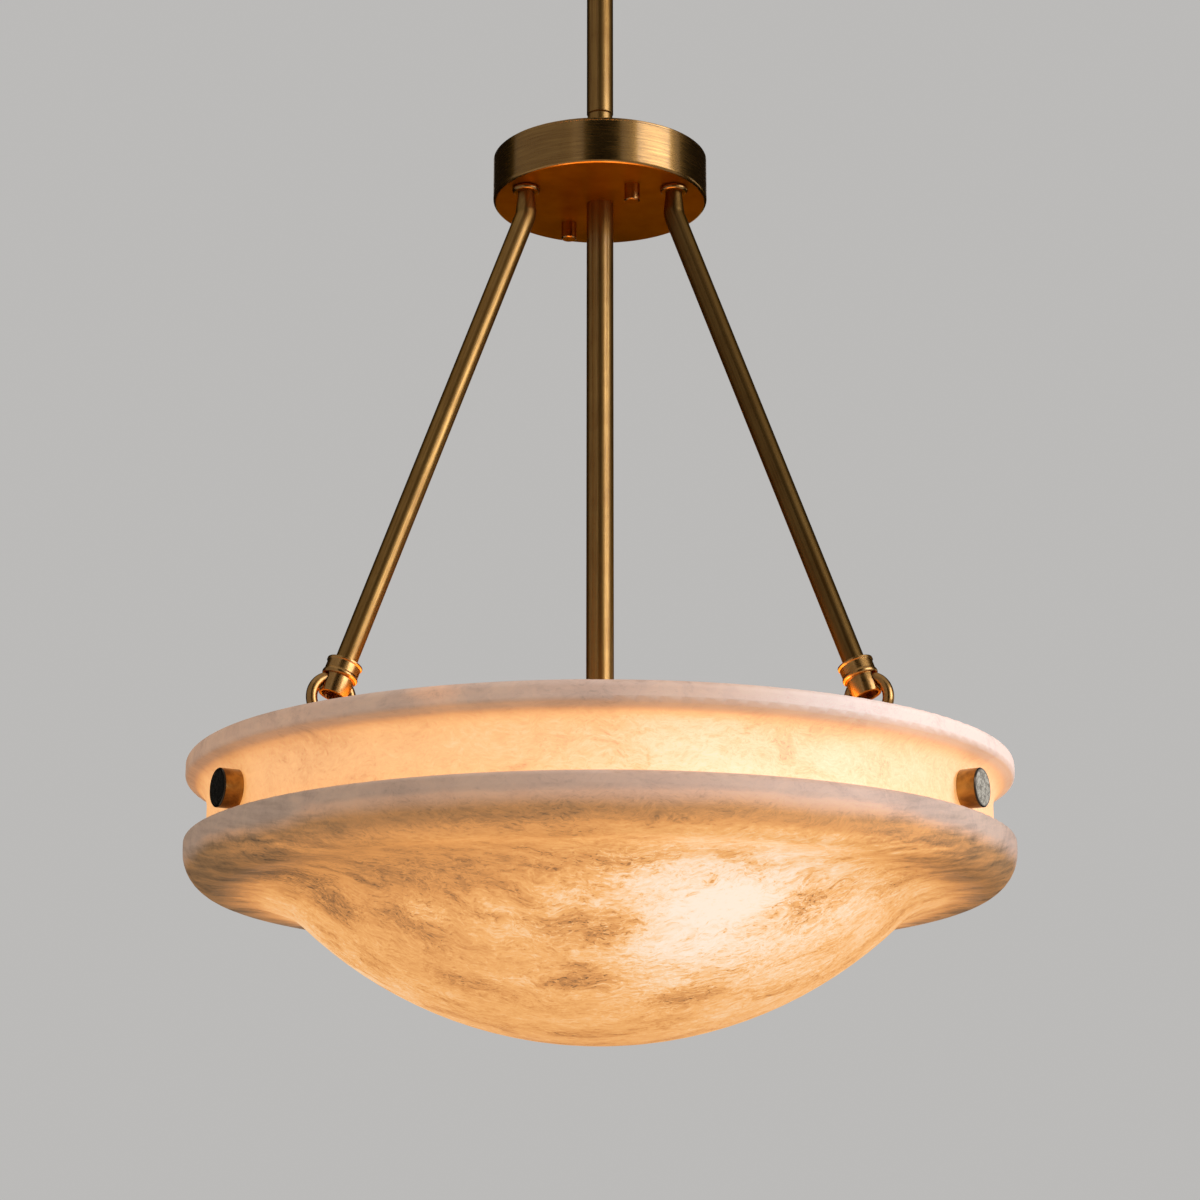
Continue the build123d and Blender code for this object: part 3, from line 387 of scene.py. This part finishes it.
def stone_forms(graph, broad):
    """Where the stone is thick, at its lips, flange and ledge, and where it is thin, in the groove."""
    x, y, z = graph.split(graph.position)
    radius = graph.math("SQRT", graph.total((x, x), (y, y)))
    lip_face = graph.smooth(radius, groove_r + 0.001, outer_r - 0.003)
    above = graph.smooth(z, *below_rim(lip_drop + 0.004, lip_drop - 0.002))
    under = graph.smooth(z, *below_rim(ledge_drop + 0.001, ledge_drop - 0.002), 1.0, 0.0)
    rim_top = graph.times(graph.smooth(z, *below_rim(*rim_top_drop)), graph.smooth(radius, inner_r, groove_r))
    upper = graph.largest(graph.times(lip_face, above), rim_top)

    # The lower lip's foot wanders up and down a little
    uneven = graph.total((broad, 0.010), (z, 1.0), (1.0, -0.005))
    outside = graph.times(graph.smooth(radius, *lower_lip_r), under)
    lower = graph.times(graph.smooth(uneven, *below_rim(*lower_lip_drop)), outside)
    lips = graph.largest(upper, lower)
    groove_wall = graph.smooth(radius, groove_r - 0.006, groove_r - 0.002)
    return SimpleNamespace(
        upper=upper,
        lower=lower,
        lower_core=graph.times(graph.smooth(uneven, *below_rim(*lower_core_drop)), outside),
        lips=lips,
        flange=graph.times(graph.smooth(radius, *flange_r), under),
        groove=graph.times(graph.inverse(under), graph.inverse(lips), groove_wall),
        ledge=graph.times(lip_face, graph.inverse(upper)),
        ends=graph.smooth(graph.math("ABSOLUTE", x), *lip_ends_x),
    )


def stone_light(graph, forms, clear):
    """Light through the stone, less what its thick places hold back."""
    x, y, z = graph.split(graph.position)
    groove_right = graph.times(forms.groove, graph.smooth(x, *groove_right_x))
    light = graph.total(
        (x, light_to_right),
        (1.0, even_light),
        (graph.smooth(z, *bottom_z), 0.050),
        (forms.groove, 0.215),
        (groove_right, -0.15),
        (clear, 1.0),
    )
    for lamp, centre in lamp_centres.items():
        away = graph.vector("DISTANCE", graph.position, centre)
        further = graph.total((away, away), (1.0, -bulb_to_stone**2))
        near, far = (
            graph.smallest(graph.math("EXPONENT", graph.math("DIVIDE", further, -2 * spread**2)), 1.0)
            for spread in (near_spread, far_spread)
        )
        light = graph.total((near, near_light[lamp]), (far, far_light), (light, 1.0))
    upper_holds = graph.total((forms.ends, -upper_ends_hold_less), (1.0, upper_lip_holds))
    thick = graph.largest(
        graph.times(forms.upper, upper_holds),
        graph.times(forms.lower_core, lower_lip_holds),
        graph.times(forms.lower, forms.ends, lower_ends_hold),
        graph.times(forms.flange, graph.smooth(y, *flange_back_y, 0.0, flange_holds)),
        graph.times(forms.ledge, ledge_holds),
    )
    return graph.times(light, graph.inverse(thick))


def stone_marks(graph, figure, forms):
    """How much the clouds and dark flecks hold light back, and how much the pale threads let more through."""
    held = graph.smallest(figure.cloudy, 0.9)
    specks = graph.times(figure.flecks, graph.total((held, 0.28), (figure.drifts, 0.30)))
    streaks = graph.times(graph.math("SUBTRACT", stone_layers(graph), 0.46), forms.flange, forms.ends)
    dark = graph.total(
        (figure.cloudy, 0.27),
        (specks, 1.0),
        (figure.lenses, 0.10),
        (figure.broad, 0.42),
        (figure.drifts, 0.60),
        (streaks, 2.7),
        (figure.dust, 0.13),
        (figure.fibres, 0.75),
        (1.0, -0.955),
    )
    pale = graph.times(figure.threads, graph.total((figure.cloudy, 0.16), (1.0, 0.075)))
    calm = graph.total((forms.lips, -0.60), (forms.groove, -0.52), (1.0, 1.0))
    return graph.times(dark, calm), graph.times(pale, calm)


def stone_body(graph, figure, forms, dark):
    """The stone's colour: pale lips and brown under the marks, with painted light in the paler groove and the
    still paler right end of the upper lip.
    """
    x = graph.split(graph.position)[0]
    # Painted light: the upper lip's right end is made paler, as if lit more from the right
    painted_light_lip = graph.times(forms.upper, graph.smooth(x, *painted_light_lip_x))
    lip_tone = graph.mix(graph.smooth(figure.drifts, 0.36, 0.64), *lip_tones)
    lip_tone = graph.mix(painted_light_lip, lip_tone, painted_light_lip_tone)
    # Painted light: the groove is painted paler, standing in for part of its glow
    body = graph.mix(forms.groove, stone_tone, painted_glow_groove_tone)
    body = graph.mix(forms.lips, body, lip_tone)
    body = graph.mix(graph.times(forms.lower, 0.35), body, lower_lip_tone)
    return graph.mix(graph.times(dark, 0.9), body, cloud_tone)


def alabaster():
    """Stone that glows where bulbs stand behind it, and stays grey where it is thick."""
    graph = Finish("alabaster")
    figure = stone_figure(graph)
    forms = stone_forms(graph, figure.broad)
    dark, pale = stone_marks(graph, figure, forms)
    glow = stone_light(graph, forms, figure.clear)
    glow = graph.times(glow, graph.total((dark, -1.0), (pale, 1.0), (1.0, 1.0)))
    graph.shade(
        base_color=stone_body(graph, figure, forms, dark),
        emission_color=graph.ramp(graph.times(glow, 0.80), glow_tones),
        emission_strength=1.0,
        specular_ior_level=0.3,
        roughness=graph.smooth(figure.broad, 0.3, 0.7, 0.40, 0.55),
    )
    relief = graph.total((figure.flecks, 0.5), (graph.noise(graph.position, 160.0), 1.0))
    graph.bump(relief, 0.0002, 0.4)
    return graph.material


# Aged brass under a clear lacquer: dark and light tones, what wear and slant do to them, and painted warm
# light on faces that look down
brushed_tones = ((0.175, 0.072, 0.0120), (0.430, 0.240, 0.066))
turned_tones = ((0.21, 0.085, 0.019), (0.48, 0.245, 0.072))
cast_tones = ((0.30, 0.134, 0.028), (0.55, 0.298, 0.085))
# Painted light: warm orange tones for faces that look down, as if lit by the bowl's glow below
painted_glow_tones_below = ((0.185, 0.060, 0.0020), (0.450, 0.190, 0.0120))
worn_tone = (0.640, 0.400, 0.160)
slant_tone = (1.0, 0.64, 0.24)
brushed_rough = (0.30, 0.42)
roughness_below = 0.44
brass_edge = 0.0006


def brass(name, lines_of, rough, tones=brushed_tones, aged=0.35, relief=0.22, coat=0.5):
    """Brushed metal with patina and worn edges. lines_of gives the coordinates of its brushed lines."""
    graph = Finish(name)
    position = graph.position
    lines_at = lines_of(graph, position)
    lines = graph.noise(lines_at, 2200.0, detail=2.0, roughness=0.6)
    streaks = graph.noise(lines_at, 900.0, roughness=0.6)
    patina = graph.noise(position, 42.0, detail=4.0, roughness=0.62, distortion=0.4)
    spots = graph.smooth(graph.noise(position, 380.0, roughness=0.6), 0.60, 0.74)
    tone = graph.total((patina, aged * 2), (streaks, 0.9), (lines, 0.7), (spots, -0.15), (1.0, -0.3 - aged))
    normal = graph.rounded(brass_edge)
    worn = graph.times(graph.edges(normal), 0.30)
    base = graph.mix(worn, graph.mix(tone, *tones), worn_tone)

    # Faces that look straight down are duller than the sides, and browner and more orange: painted warm
    # light, as if from the bowl's glow below
    downward = graph.smooth(graph.split(graph.facing)[2], -0.98, -0.85, 1.0, 0.0)
    sheen = graph.total((lines, 0.5), (patina, 0.2), (streaks, 0.3))
    sheen = graph.smooth(sheen, 0.35, 0.65, *reversed(rough))
    graph.shade(
        base_color=graph.mix(downward, base, graph.mix(tone, *painted_glow_tones_below)),
        metallic=1.0,
        roughness=graph.largest(sheen, graph.times(downward, roughness_below)),
        coat_weight=graph.times(graph.inverse(downward), coat),
        coat_roughness=0.13,
        specular_tint=slant_tone,
    )
    graph.bump(graph.total((lines, 0.6), (streaks, 0.8)), 0.00004, relief, normal)
    return graph.material


# Knobs: how far out their faces stand, the faces' radius, and the tones of sides, face and the line round it
knob_edge = 0.0011
knob_edge_fade = 0.0004
knob_face_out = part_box("bowl_knob_rear")[1].y - knob_edge
knob_face_r = 0.0098
knob_line_width = 0.0010
knob_side_tones = ((0.20, 0.098, 0.018), (0.40, 0.213, 0.045))
knob_face_tones = ((0.20, 0.165, 0.115), (0.66, 0.60, 0.49))
knob_line_tone = (0.050, 0.030, 0.014)


def knob_brass(name, place, axis):
    """A turned knob: brown sides, and a polished face that has a dark line round it."""
    graph = Finish(name)
    position = graph.position
    out = graph.vector("DOT_PRODUCT", position, axis)
    face = graph.smooth(out, knob_face_out, knob_face_out + knob_edge_fade)
    from_axis = graph.vector("CROSS_PRODUCT", graph.vector("SUBTRACT", position, place), axis)
    from_axis = graph.vector("DISTANCE", from_axis, (0, 0, 0))
    outline = graph.smooth(from_axis, knob_face_r - knob_line_width, knob_face_r)
    mottle = graph.noise(position, 420.0, detail=4.0, roughness=0.65, distortion=0.8)
    clouds = graph.noise(position, 130.0, roughness=0.6, distortion=0.4)
    side_tone = graph.mix(graph.smooth(clouds, 0.3, 0.7), *knob_side_tones)
    face_tone = graph.mix(graph.smooth(mottle, 0.38, 0.62), *knob_face_tones)
    face_tone = graph.mix(outline, face_tone, knob_line_tone)
    graph.shade(
        base_color=graph.mix(face, side_tone, face_tone),
        metallic=1.0,
        roughness=graph.total((face, -0.16), (mottle, 0.10), (1.0, 0.27)),
        coat_weight=0.4,
        coat_roughness=0.12,
    )
    graph.bump(mottle, 0.00006, 0.5, graph.rounded(0.0005))
    return graph.material


def along(direction):
    """Brushed lines that run along one direction."""
    line = Vector(direction).normalized()
    drawn_share = 0.985

    def coordinates(graph, position):
        lengthwise = graph.add("ShaderNodeVectorMath", operation="SCALE")
        graph.put(drawn_share * line, lengthwise.inputs[0])
        graph.put(graph.vector("DOT_PRODUCT", position, line), lengthwise.inputs["Scale"])
        return graph.vector("SUBTRACT", position, lengthwise.outputs["Vector"])

    return coordinates


def level_round(graph, position):
    """Brushed lines that run level round the light's axis."""
    return graph.vector("MULTIPLY", position, (0.03, 0.03, 1.0))


def mottled(graph, position):
    """No brushed lines: an even, slightly clouded finish."""
    return graph.vector("MULTIPLY", position, (0.14, 0.14, 0.14))


# Plain metals inside the light: dark and pale tones, and their bare edges
steel_tones = ((0.40, 0.39, 0.36), (0.60, 0.58, 0.53))
bulb_metal_tones = ((0.55, 0.53, 0.50), (0.72, 0.70, 0.66))
bare_edge_tone = (0.78, 0.76, 0.72)


def speckled_metal(name, tones, scale, rough):
    """Plain plated metal with fine uneven spots."""
    graph = Finish(name)
    spots = graph.noise(graph.position, scale, detail=4.0, roughness=0.6)
    normal = graph.rounded(0.0004)
    bare = graph.times(graph.edges(normal), 0.5)
    graph.shade(
        base_color=graph.mix(bare, graph.mix(spots, *tones), bare_edge_tone),
        metallic=1.0,
        roughness=graph.smooth(spots, 0.3, 0.7, *rough),
    )
    graph.bump(spots, 0.00005, 0.3, normal)
    return graph.material


def dark_rubber():
    graph = Finish("dark_rubber")
    grit = graph.noise(graph.position, 900.0, roughness=0.6)
    graph.shade(
        base_color=graph.mix(grit, (0.018, 0.016, 0.015), (0.045, 0.040, 0.036)),
        roughness=graph.smooth(grit, 0.3, 0.7, 0.62, 0.85),
    )
    graph.bump(grit, 0.00008, 0.4)
    return graph.material


def glazed_porcelain():
    graph = Finish("glazed_porcelain")
    tint = graph.noise(graph.position, 60.0, roughness=0.5)
    normal = graph.rounded(0.0008)
    pale_edge = graph.times(graph.edges(normal), 0.4)
    glaze = graph.mix(tint, (0.70, 0.66, 0.58), (0.80, 0.77, 0.71))
    graph.shade(
        base_color=graph.mix(pale_edge, glaze, (0.86, 0.84, 0.80)),
        roughness=graph.smooth(tint, 0.3, 0.7, 0.12, 0.2),
    )
    graph.bump(graph.noise(graph.position, 140.0, detail=2.0), 0.0001, 0.25, normal)
    return graph.material


# Lit bulbs: the ball's light fades towards the neck, this far from the ball's centre
bulb_brightness = 4.0
ball_fade = (0.026, 0.050)
neck_share = 0.25


def frosted_glass():
    """Lit opal glass: brightest over the ball, a little duller at the neck."""
    graph = Finish("frosted_glass")
    frost = graph.noise(graph.position, 700.0, roughness=0.6)
    away = [graph.vector("DISTANCE", graph.position, centre) for centre in lamp_centres.values()]
    ball = graph.smooth(graph.smallest(*away), *ball_fade, 1.0, neck_share)
    graph.shade(
        base_color=graph.mix(frost, (0.84, 0.78, 0.68), (0.92, 0.87, 0.78)),
        emission_color=graph.mix(ball, (1.0, 0.52, 0.22), (1.0, 0.80, 0.52)),
        emission_strength=graph.times(ball, bulb_brightness),
        roughness=graph.smooth(frost, 0.3, 0.7, 0.35, 0.5),
    )
    return graph.material


def paint(material, *names):
    for name in names:
        slots = nodes[name].data.materials
        slots.clear()
        slots.append(material)


# Finishes, and the pieces that have them
upright = brass("brass_upright", along((0, 0, 1)), brushed_rough, coat=0.28)
drum = brass("brass_drum", level_round, (0.18, 0.30), aged=0.15)
turned = brass("brass_turned", level_round, (0.14, 0.24), turned_tones)
cast = brass("brass_cast", mottled, (0.24, 0.32), cast_tones, relief=0.03)
plated_steel = speckled_metal("plated_steel", steel_tones, 240.0, (0.30, 0.46))
bulb_metal = speckled_metal("bulb_metal", bulb_metal_tones, 500.0, (0.24, 0.40))
rubber = dark_rubber()
porcelain = glazed_porcelain()
opal = frosted_glass()
paint(alabaster(), "stone_bowl")
paint(upright, "stem", "stem_neck", "centre_rod", "swivel_tongue", "swivel_fork", "swivel_pin")
paint(drum, "hub_cup", "hub_lid", "ceiling_canopy", "swivel_cup", "swivel_ring", "lamp_cluster_body",
      "lamp_cluster_cover", "arm_collars")
paint(turned, "hub_thumb_nut_front", "hub_thumb_nut_rear", "canopy_thumb_nut_left",
      "canopy_thumb_nut_right", "cluster_finial")
paint(plated_steel, "ceiling_crossbar", "crossbar_studs", "canopy_threaded_tube", "canopy_lock_nut",
      "hub_threaded_tube", "hub_tube_nut", "hub_crossbar", "hub_studs", "hub_lock_nuts", "knob_studs",
      "bracket_nuts", "lamp_cluster_nut", "lamp_nipples")
paint(rubber, "knob_gaskets", "bracket_pads")
for lamp in lamps:
    paint(porcelain, f"lamp_socket_{lamp}")
    paint(bulb_metal, f"bulb_base_{lamp}")
    paint(opal, f"bulb_glass_{lamp}")

# The arms' brushed lines run from the hub's bend to the link ring
arm_circle_r = 0.050
arm_corner_drop = 0.017
# Painted shade: each arm's tones are darkened by its share, the right arm most
painted_arm_shade = {"left": 0.92, "right": 0.50, "rear": 0.75}
arm_coat = {"left": 0.18, "right": 0.08, "rear": 0.12}
for side in sides:
    ring_place = joint_place(f"ring_{side}_swing")
    outward = Vector((ring_place.x, ring_place.y, 0)).normalized()
    corner = arm_circle_r * outward + Vector((0, 0, hub_bottom_z - arm_corner_drop))
    # Painted shade: this arm's tones darkened by its share
    shaded_arm_tones = [[painted_arm_shade[side] * channel for channel in tone] for tone in brushed_tones]
    arm_lines = along(ring_place - corner)
    arm = brass(f"brass_arm_{side}", arm_lines, brushed_rough, shaded_arm_tones, coat=arm_coat[side])
    paint(arm, f"arm_{side}")
    paint(cast, f"arm_fitting_{side}", f"link_ring_{side}", f"bowl_bracket_{side}")
    knob_turn = f"knob_{side}_turn"
    knob_axis = joint_axis(knob_turn)
    if knob_axis.dot(outward) < 0:
        knob_axis = -knob_axis
    paint(knob_brass(f"brass_knob_{side}", joint_place(knob_turn), knob_axis), f"bowl_knob_{side}")


def flat_panel(name, corners, material):
    """A flat four-cornered sheet of the studio, not part of the light."""
    mesh = bpy.data.meshes.new(name)
    mesh.from_pydata(corners, [], [(0, 1, 2, 3)])
    mesh.materials.append(material)
    panel = bpy.data.objects.new(name, mesh)
    bpy.context.scene.collection.objects.link(panel)
    return panel


def level_panel(name, half_width, front, back, height, material):
    """A sheet that lies level, from its front to its back edge."""
    places = ((-half_width, front), (half_width, front), (half_width, back), (-half_width, back))
    corners = [(x, y, height) for x, y in places]
    return flat_panel(name, corners, material)


# Floor under the light, a little paler to look at than the light it gives back
floor_z = -2.6
floor_half = 10.0
floor_shine = 0.28
warm_white = (1.0, 0.985, 0.965)
floor = Finish("pale_floor")
floor.shade(
    base_color=floor.mix(floor.noise(floor.position, 1.5), (0.60, 0.59, 0.57), (0.64, 0.63, 0.61)),
    roughness=0.8,
    emission_color=warm_white,
    emission_strength=floor.times(floor.seen(), floor_shine),
)
level_panel("floor", floor_half, -floor_half, floor_half, floor_z, floor.material)

# Panels round the studio that only polished surfaces show: they give the metal its dark bands
panel_low = -1.4
panel_high = 2.4
rear_panel_half = 4.8
rear_panel_front = 1.1
rear_panel_back = 9.9
rear_panel_z = floor_z + 0.02


def panel_material(name, brightness):
    graph = Finish(name)
    graph.shade(
        base_color=(0.012, 0.011, 0.010),
        roughness=0.9,
        emission_color=(1.0, 0.97, 0.93),
        emission_strength=brightness,
    )
    return graph.material


def for_gloss_alone(panel):
    panel.visible_camera = False
    panel.visible_diffuse = False
    panel.visible_transmission = False
    panel.visible_shadow = False


def upright_panel(name, from_degrees, to_degrees, away, material):
    """A panel between two bearings, counted from the viewer's side towards +X."""
    left, right = (
        (away * math.sin(math.radians(bearing)), -away * math.cos(math.radians(bearing)))
        for bearing in (from_degrees, to_degrees)
    )
    corners = [(*left, panel_low), (*right, panel_low), (*right, panel_high), (*left, panel_high)]
    for_gloss_alone(flat_panel(name, corners, material))


dark = panel_material("dark_panel", 0.0)
dim = panel_material("dim_panel", 0.32)
upright_panel("front_panel", -17, 22, 3.0, dark)
upright_panel("left_panel", -104, -30, 2.8, dim)
upright_panel("left_rear_panel", -165, -104, 2.7, dark)
upright_panel("right_rear_panel", 94, 165, 2.7, dark)
for_gloss_alone(
    level_panel("rear_floor_panel", rear_panel_half, rear_panel_front, rear_panel_back, rear_panel_z, dark)
)

# Pale surroundings: the same grey for what the camera and the metal see, and softer for the light it gives
pale = 0.50
soft_fill = 0.32
world = bpy.data.worlds.new("pale_room")
bpy.context.scene.world = world
world.use_nodes = True
room = Graph(world.node_tree)
background = room.tree.nodes["Background"]
room.put(warm_white, background.inputs["Color"])
room.put(room.total((room.seen(), pale - soft_fill), (1.0, soft_fill)), background.inputs["Strength"])


def softbox(name, place, aim, size, radiance, tint=(1, 1, 1), shape="RECTANGLE", gloss=True):
    """A flat lamp of a set brightness, turned to face a point. With gloss, metal shows it."""
    lamp = bpy.data.lights.new(name, "AREA")
    lamp.shape = shape
    lamp.size, lamp.size_y = size
    area = size[0] * size[1] * (1 if shape == "RECTANGLE" else math.pi / 4)
    lamp.energy = radiance * math.pi * area
    lamp.color = tint
    holder = bpy.data.objects.new(name, lamp)
    holder.location = place
    holder.rotation_euler = (Vector(aim) - Vector(place)).to_track_quat("-Z", "Y").to_euler()
    holder.visible_camera = False
    holder.visible_glossy = gloss
    bpy.context.scene.collection.objects.link(holder)
    return holder


middle = (0, 0, -0.35)
bowl_middle = (0, 0, -0.60)
cool = (0.94, 1.0, 1.14)
faintly_cool = (0.96, 1.0, 1.08)
softbox("left_softbox", (-1.80, -0.80, 0.15), middle, size=(1.5, 1.7), radiance=0.62, gloss=False)
softbox("right_softbox", (1.80, -1.05, 0.12), middle, size=(1.4, 1.35), radiance=4.1, tint=cool)
softbox("right_fill", (1.90, -0.70, -0.10), middle, size=(1.2, 1.2), radiance=0.9, tint=faintly_cool,
        gloss=False)
softbox("rim_softbox", (1.52, 0.91, -0.28), bowl_middle, size=(0.6, 0.45), radiance=0.8)

# The bulbs' light that leaves the bowl's mouth
mouth_drop = 0.004
mouth_size = (0.30, 0.30)
amber = (1.0, 0.38, 0.035)
bowl_light = softbox("bowl_light", (0, 0, rim_z - mouth_drop), (0, 0, 0), size=mouth_size, radiance=3.5,
                     tint=amber, shape="DISK")
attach(bowl_light, "bowl")

# Camera at the photograph's viewing angle: it stands below the bowl and looks up at it
camera_back = 1.5853
camera_below_hub = 0.6576
camera_pitch = 0.25548
camera_data = bpy.data.cameras.new("camera")
camera_data.sensor_width = 36.0
camera_data.lens = 85.66
camera = bpy.data.objects.new("camera", camera_data)
camera.location = (0, -camera_back, hub_bottom_z - camera_below_hub)
camera.rotation_euler = (math.pi / 2 + camera_pitch, 0, 0)
bpy.context.scene.collection.objects.link(camera)
bpy.context.scene.camera = camera
bpy.context.scene.view_settings.view_transform = "Standard"
